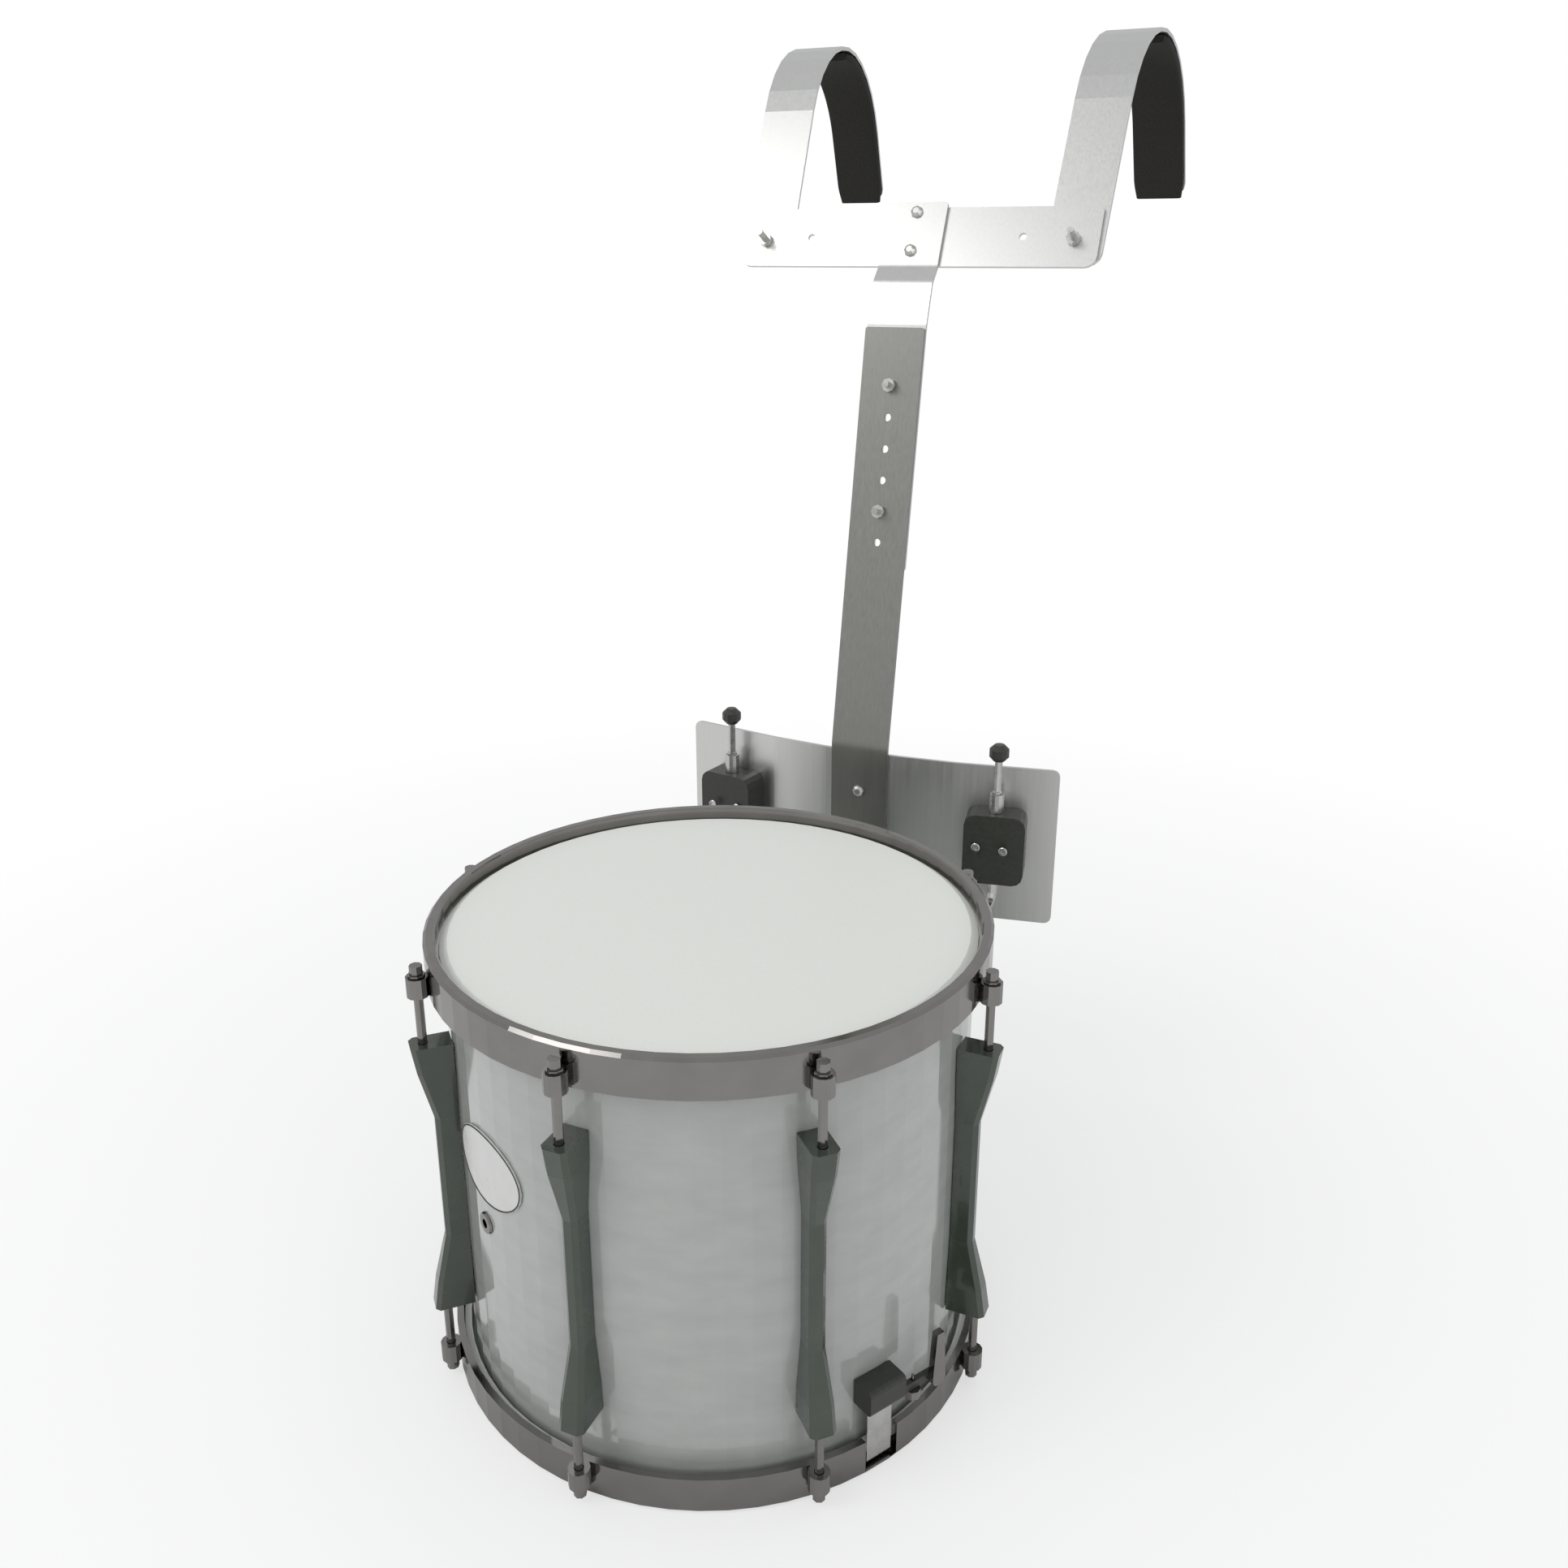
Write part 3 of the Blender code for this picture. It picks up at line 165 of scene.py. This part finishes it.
def spread(nodes, links, value, low, high):
    """Maps the middle of a noise to a range."""
    ramp = nodes.new("ShaderNodeMapRange")
    ramp.inputs["From Min"].default_value = 0.3
    ramp.inputs["From Max"].default_value = 0.7
    ramp.inputs["To Min"].default_value = low
    ramp.inputs["To Max"].default_value = high
    links.new(value, ramp.inputs["Value"])
    return ramp.outputs["Result"]


def finish_of(name, colour, metallic, roughness, scale, tone, wear, bump=0.0, coat=0.0):
    """A procedural finish on Object coordinates: noise changes its tone, roughness and surface."""
    material = bpy.data.materials.new(name)
    material.use_nodes = True
    nodes, links = material.node_tree.nodes, material.node_tree.links
    shader = nodes["Principled BSDF"]
    where = nodes.new("ShaderNodeTexCoord")
    stretch = nodes.new("ShaderNodeMapping")
    stretch.inputs["Scale"].default_value = scale
    noise = nodes.new("ShaderNodeTexNoise")
    noise.inputs["Scale"].default_value = 1.0
    noise.inputs["Detail"].default_value = 4.0
    links.new(where.outputs["Object"], stretch.inputs["Vector"])
    links.new(stretch.outputs["Vector"], noise.inputs["Vector"])
    shade = nodes.new("ShaderNodeVectorMath")
    shade.operation = "SCALE"
    shade.inputs[0].default_value = tuple(colour)
    links.new(spread(nodes, links, noise.outputs["Fac"], 1.0 - tone, 1.0 + tone), shade.inputs["Scale"])
    links.new(shade.outputs["Vector"], shader.inputs["Base Color"])
    rough = spread(nodes, links, noise.outputs["Fac"], max(0.02, roughness - wear), roughness + wear)
    links.new(rough, shader.inputs["Roughness"])
    shader.inputs["Metallic"].default_value = metallic
    shader.inputs["Coat Weight"].default_value = coat
    shader.inputs["Coat Roughness"].default_value = 0.05
    if bump:
        relief = nodes.new("ShaderNodeBump")
        relief.inputs["Strength"].default_value = 0.6
        relief.inputs["Distance"].default_value = bump
        links.new(noise.outputs["Fac"], relief.inputs["Height"])
        links.new(relief.outputs["Normal"], shader.inputs["Normal"])
    return material


def finishes(look):
    """One finish for each material slot: colour, metal, roughness, noise scale, tone, wear, bump, coat."""
    brushed = (700.0, 700.0, 12.0)
    rows = {
        "pearl": ("white_pearl", look.pearl, 0.0, 0.16, (35.0, 35.0, 90.0), 0.05, 0.03, 0.0, 1.0),
        "film": ("coated_film", look.film, 0.0, 0.50, (900.0,) * 3, 0.02, 0.05, 0.00005),
        "dark_chrome": ("dark_chrome", look.dark_chrome, 1.0, 0.14, (40.0,) * 3, 0.06, 0.04),
        "lug_green_grey": ("lug_gloss", look.lug, 0.2, 0.25, (50.0,) * 3, 0.10, 0.05, 0.0, 0.6),
        "badge_enamel": ("badge_enamel", look.badge, 0.0, 0.30, (80.0,) * 3, 0.03, 0.04),
        "steel": ("zinc_steel", look.steel, 1.0, 0.28, (120.0,) * 3, 0.08, 0.08),
        "black_block": ("black_block", look.black, 0.0, 0.38, (300.0,) * 3, 0.15, 0.06, 0.00004),
        "bright_aluminium": ("brushed_aluminium", look.bright, 1.0, 0.34, brushed, 0.03, 0.04),
        # The same brushed aluminium as the plates, with its colour darkened as painted shade for the lower
        # bar.
        "dull_aluminium": ("grey_aluminium", look.shaded_bar, 1.0, 0.38, brushed, 0.05, 0.04),
        "foam": ("black_foam", look.foam, 0.0, 0.92, (1400.0,) * 3, 0.30, 0.04, 0.0003),
    }
    return {slot: finish_of(*row) for slot, row in rows.items()}


def dress(piece, material, angle):
    piece.data.materials.clear()
    piece.data.materials.append(material)
    for face in piece.data.polygons:
        face.material_index = 0
        face.use_smooth = True
    piece.data.set_sharp_from_angle(angle=angle)


def place(name, bm, material, body, angle=PIECE_SMOOTH):
    """Makes a bmesh a piece that rides on a CAD body."""
    mesh = bpy.data.meshes.new(name)
    bmesh.ops.recalc_face_normals(bm, faces=bm.faces)
    bm.to_mesh(mesh)
    bm.free()
    piece = bpy.data.objects.new(name, mesh)
    bpy.context.scene.collection.objects.link(piece)
    dress(piece, bpy.data.materials[material], angle)
    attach(piece, body)
    return piece


def looped(bm, ring):
    """A closed loop of edges through a ring of points."""
    verts = [bm.verts.new(point) for point in ring]
    return [bm.edges.new(pair) for pair in zip(verts, verts[1:] + verts[:1])]


def skin(rings):
    """Bridges rings of points into one tube and closes its ends."""
    bm = bmesh.new()
    loops = [looped(bm, ring) for ring in rings]
    for first, second in zip(loops, loops[1:]):
        bmesh.ops.bridge_loops(bm, edges=first + second)
    bmesh.ops.holes_fill(bm, edges=loops[0] + loops[-1], sides=len(rings[0]))
    return bm


def pad_route(high):
    """Points of the pad's middle line with the way out of the arch at each, in the CAD pad's place."""
    radius = ARCH_RADIUS - HALF_SHEET - SEAT_GAP - HALF_PAD
    points = []
    for step in range(ARCH_STEPS + 1):
        lean = math.radians(PAD_FIRST_LEAN + (PAD_LAST_LEAN - PAD_FIRST_LEAN) * step / ARCH_STEPS)
        outward = Vector((0, -math.cos(lean), math.sin(lean)))
        points.append((outward * radius, outward))
    final, outward = points[-1]
    ahead = Vector((0, math.sin(lean), math.cos(lean)))
    for step in range(1, LEG_STEPS + 1):
        points.append((final + ahead * PAD_REAR_LEG * step / LEG_STEPS, outward))
    reach = max(point.y + out.y * HALF_PAD for point, out in points)
    top = max(point.z + out.z * HALF_PAD for point, out in points)
    shift = Vector((0, high.y - reach, high.z - top))
    return [(point + shift, out) for point, out in points]


def pad_section(half_width, half_depth, rounding, bulge):
    """Rounded slab: x across, d towards the shoulder, where its face swells at the middle."""
    outline = []
    for corner, (side, face) in enumerate(((1, 1), (-1, 1), (-1, -1), (1, -1))):
        for step in range(CORNER_STEPS + 1):
            turn = math.radians(90 * corner + 90 * step / CORNER_STEPS)
            x = side * (half_width - rounding) + rounding * math.cos(turn)
            d = face * (half_depth - rounding) + rounding * math.sin(turn)
            if d > 0:
                d += bulge * (1 - (x / half_width) ** 2)
            outline.append((x, d))
        if corner == 0:
            for step in range(1, BELLY_STEPS):
                x = (half_width - rounding) * (1 - 2 * step / BELLY_STEPS)
                outline.append((x, half_depth + bulge * (1 - (x / half_width) ** 2)))
    return outline


class DRUM_OT_finishes(bpy.types.Operator):
    """Give every CAD node its finish"""

    bl_idname = "drum.finishes"
    bl_label = "Finishes"

    def execute(self, context):
        made = finishes(context.scene.drum_looks)
        for slot, names in SLOT_NODES.items():
            for name in names:
                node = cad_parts[name]
                dress(node, made[slot], CAD_SMOOTH)
        return {"FINISHED"}


class DRUM_OT_pads(bpy.types.Operator):
    """Build the two foam pads under the shoulder arms"""

    bl_idname = "drum.pads"
    bl_label = "Shoulder pads"

    def execute(self, context):
        look = context.scene.drum_looks
        for word, side in (("left", -1), ("right", 1)):
            node = f"strap_pad_{word}"
            low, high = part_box(node)
            route = pad_route(high)
            shear = math.tan(math.radians(ARM_SPLAY)) * side
            width = high.x - low.x - abs(shear) * (high.y - low.y)
            inner = low.x if side > 0 else high.x
            middle = inner + side * width / 2
            start = route[0][0].y
            total = len(route) - 1
            rings = []
            for index, (point, outward) in enumerate(route):
                ease = min(1.0, END_EASE + min(index, total - index) * END_EASE_STEP)
                swell = math.sin(math.pi * index / total) ** 0.5
                trim = (1 - ease) * look.pad_round
                shape = pad_section(width / 2 - trim, HALF_PAD - PAD_SKIN_GAP - trim / 2,
                                    look.pad_round * CORNER_SHARE, look.pad_bulge * swell)
                across = middle + shear * (point.y - start)
                rings.append([Vector((across + x, 0, 0)) + point - outward * d for x, d in shape])
            pad = place(f"foam_pad_{word}", skin(rings), "black_foam", f"strap_{word}_arm",
                        PAD_SMOOTH)
            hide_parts(node)
        return {"FINISHED"}


class DRUM_OT_block_screws(bpy.types.Operator):
    """Two socket screws on the front of each clamp block"""

    bl_idname = "drum.block_screws"
    bl_label = "Clamp block screws"

    def execute(self, context):
        radius = context.scene.drum_looks.screw_radius
        for word in ("left", "right"):
            low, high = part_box(f"clamp_block_{word}")
            height = low.z + (high.z - low.z) * SCREW_HEIGHT_SHARE
            for number, step in enumerate(SCREW_STEPS, start=1):
                spot = Vector(((low.x + high.x) / 2 + step, low.y, height))
                bm = self.screw(spot, radius)
                place(f"block_screw_{word}_{number}", bm, "zinc_steel", "carrier_lower")
        return {"FINISHED"}

    def screw(self, spot, radius):
        """The screw's profile spun about its axis, with its ends closed."""
        bm = bmesh.new()
        verts = [bm.verts.new(spot + Vector((radius * share, -depth, 0))) for share, depth in SCREW_PROFILE]
        edges = [bm.edges.new(pair) for pair in zip(verts, verts[1:])]
        bmesh.ops.spin(bm, geom=verts + edges, cent=spot, axis=(0, 1, 0), angle=math.tau,
                       steps=SCREW_TURNS, use_merge=True)
        bmesh.ops.holes_fill(bm, edges=bm.edges, sides=SCREW_TURNS)
        return bm


class DRUM_OT_badge_rim(bpy.types.Operator):
    """A thin dark rim round the plain oval badge"""

    bl_idname = "drum.badge_rim"
    bl_label = "Badge rim"

    def execute(self, context):
        low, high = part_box("badge")
        shell_low, shell_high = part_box("shell")
        axis = (shell_low + shell_high) / 2
        middle = (low + high) / 2
        bearing = math.atan2(middle.y - axis.y, middle.x - axis.x)
        spokes = [vert.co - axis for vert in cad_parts["badge"].data.vertices]
        out = max(math.hypot(spoke.x, spoke.y) for spoke in spokes)
        turns = [math.atan2(spoke.y, spoke.x) - bearing for spoke in spokes]
        half_turn = max(abs((turn + math.pi) % math.tau - math.pi) for turn in turns)
        half_height = (high.z - low.z) / 2
        bm = self.ring(context.scene.drum_looks.rim_radius)
        for vert in bm.verts:
            angle = math.atan2(vert.co.y, vert.co.x)
            sideways = math.hypot(vert.co.x, vert.co.y) - 1.0
            turn = bearing + half_turn * RIM_SHARE * math.cos(angle)
            away = Vector((math.cos(turn), math.sin(turn), 0))
            side = Vector((-away.y * math.cos(angle), away.x * math.cos(angle), math.sin(angle)))
            spot = Vector((axis.x, axis.y, middle.z + half_height * RIM_SHARE * math.sin(angle)))
            vert.co = spot + away * (out + vert.co.z) + side * sideways
        place("badge_rim", bm, "black_block", "drum", RIM_SMOOTH)
        return {"FINISHED"}

    def ring(self, thin):
        """A round ring of radius 1 about the upright axis, with a tube of the rim's thickness."""
        bm = bmesh.new()
        upright = Matrix.Translation((1.0, 0, 0)) @ Matrix.Rotation(math.pi / 2, 4, "X")
        bmesh.ops.create_circle(bm, segments=RIM_SIDES, radius=thin, matrix=upright)
        bmesh.ops.spin(bm, geom=bm.verts[:] + bm.edges[:], cent=(0, 0, 0), axis=(0, 0, 1),
                       angle=math.tau, steps=RIM_TURNS, use_merge=True)
        return bm


class DRUM_OT_stage(bpy.types.Operator):
    """Plain pale floor, soft lights and the camera"""

    bl_idname = "drum.stage"
    bl_label = "Stage"

    def execute(self, context):
        scene = context.scene
        scene.view_settings.view_transform = "Standard"
        self.floor(scene)
        self.world(scene)
        self.lamp(scene, "key", (-1.6, -2.2, 2.6), (0, 0, 0.35), 1.8, 26)
        self.lamp(scene, "fill", (2.4, -1.4, 1.5), (0, 0, 0.3), 1.6, 7)
        top = self.lamp(scene, "top", (0.1, 0.4, 3.0), (0, 0, 0.3), 2.0, 12)
        top.visible_glossy = False
        self.camera(scene)
        return {"FINISHED"}

    def floor(self, scene):
        bm = bmesh.new()
        bmesh.ops.create_circle(bm, cap_ends=True, segments=FLOOR_SEGMENTS, radius=FLOOR_RADIUS,
                                matrix=Matrix.Translation((0, 0, -FLOOR_DROP)))
        mesh = bpy.data.meshes.new("floor")
        bm.to_mesh(mesh)
        bm.free()
        piece = bpy.data.objects.new("floor", mesh)
        scene.collection.objects.link(piece)
        piece.data.materials.append(self.floor_finish(scene.drum_looks.floor))

    def floor_finish(self, colour):
        """Matt near the drum, fading to plain white farther off, so that no horizon shows."""
        material = bpy.data.materials.new("pale_floor")
        material.use_nodes = True
        nodes, links = material.node_tree.nodes, material.node_tree.links
        shader = nodes["Principled BSDF"]
        shader.inputs["Base Color"].default_value = (*colour, 1.0)
        shader.inputs["Roughness"].default_value = 0.9
        where = nodes.new("ShaderNodeTexCoord")
        length = nodes.new("ShaderNodeVectorMath")
        length.operation = "LENGTH"
        fade = nodes.new("ShaderNodeMapRange")
        fade.inputs["From Min"].default_value = FLOOR_FADE[0]
        fade.inputs["From Max"].default_value = FLOOR_FADE[1]
        fade.inputs["To Min"].default_value = FLOOR_LEAST_GLOW
        glow = nodes.new("ShaderNodeEmission")
        glow.inputs["Strength"].default_value = 1.0
        path = nodes.new("ShaderNodeLightPath")
        both = nodes.new("ShaderNodeMath")
        both.operation = "MULTIPLY"
        mix = nodes.new("ShaderNodeMixShader")
        links.new(where.outputs["Object"], length.inputs[0])
        links.new(length.outputs["Value"], fade.inputs["Value"])
        links.new(fade.outputs["Result"], both.inputs[0])
        links.new(path.outputs["Is Camera Ray"], both.inputs[1])
        links.new(both.outputs["Value"], mix.inputs[0])
        links.new(shader.outputs["BSDF"], mix.inputs[1])
        links.new(glow.outputs["Emission"], mix.inputs[2])
        links.new(mix.outputs["Shader"], nodes["Material Output"].inputs["Surface"])
        return material

    def world(self, scene):
        """White to the camera, a softer grey for the light that falls on the drum."""
        world = bpy.data.worlds.new("studio")
        scene.world = world
        world.use_nodes = True
        nodes, links = world.node_tree.nodes, world.node_tree.links
        room = nodes["Background"]
        room.inputs["Color"].default_value = ROOM_GREY
        room.inputs["Strength"].default_value = 1.0
        white = nodes.new("ShaderNodeBackground")
        white.inputs["Color"].default_value = (1.0, 1.0, 1.0, 1.0)
        white.inputs["Strength"].default_value = 1.0
        path = nodes.new("ShaderNodeLightPath")
        mix = nodes.new("ShaderNodeMixShader")
        links.new(path.outputs["Is Camera Ray"], mix.inputs[0])
        links.new(room.outputs["Background"], mix.inputs[1])
        links.new(white.outputs["Background"], mix.inputs[2])
        links.new(mix.outputs["Shader"], nodes["World Output"].inputs["Surface"])

    def lamp(self, scene, name, spot, target, size, power):
        """A round soft lamp that looks at a point."""
        data = bpy.data.lights.new(name, "AREA")
        data.shape = "DISK"
        data.size = size
        data.energy = power
        lamp = bpy.data.objects.new(name, data)
        lamp.location = spot
        lamp.rotation_euler = (Vector(target) - Vector(spot)).to_track_quat("-Z", "Y").to_euler()
        scene.collection.objects.link(lamp)
        return lamp

    def camera(self, scene):
        """The view of the photograph, measured from the drum's axis."""
        low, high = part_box("shell")
        data = bpy.data.cameras.new("camera")
        data.lens = CAMERA_LENS
        data.sensor_width = CAMERA_SENSOR
        data.shift_y = CAMERA_SHIFT
        camera = bpy.data.objects.new("camera", data)
        camera.location = Vector(CAMERA_FROM_AXIS) + Vector((0, (low.y + high.y) / 2, 0))
        camera.rotation_euler = (math.radians(CAMERA_TILT), 0.0, math.radians(CAMERA_TURN))
        scene.collection.objects.link(camera)
        scene.camera = camera


class DRUM_PT_looks(bpy.types.Panel):
    """Sidebar panel of the drum's looks"""

    bl_idname = "DRUM_PT_looks"
    bl_label = "Drum looks"
    bl_space_type = "VIEW_3D"
    bl_region_type = "UI"
    bl_category = "Drum"

    def draw(self, context):
        look = context.scene.drum_looks
        for name in look.__annotations__:
            self.layout.prop(look, name)
        for operator in OPERATORS:
            self.layout.operator(operator.bl_idname)


OPERATORS = (
    DRUM_OT_finishes,
    DRUM_OT_pads,
    DRUM_OT_block_screws,
    DRUM_OT_badge_rim,
    DRUM_OT_stage,
)
CLASSES = (DrumLooksSettings, *OPERATORS, DRUM_PT_looks)


def register():
    for cls in CLASSES:
        bpy.utils.register_class(cls)
    bpy.types.Scene.drum_looks = bpy.props.PointerProperty(type=DrumLooksSettings)


def unregister():
    del bpy.types.Scene.drum_looks
    for cls in reversed(CLASSES):
        bpy.utils.unregister_class(cls)


def main():
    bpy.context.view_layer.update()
    register()
    bpy.ops.drum.finishes()
    bpy.ops.drum.pads()
    bpy.ops.drum.block_screws()
    bpy.ops.drum.badge_rim()
    bpy.ops.drum.stage()


if __name__ == "__main__":
    main()
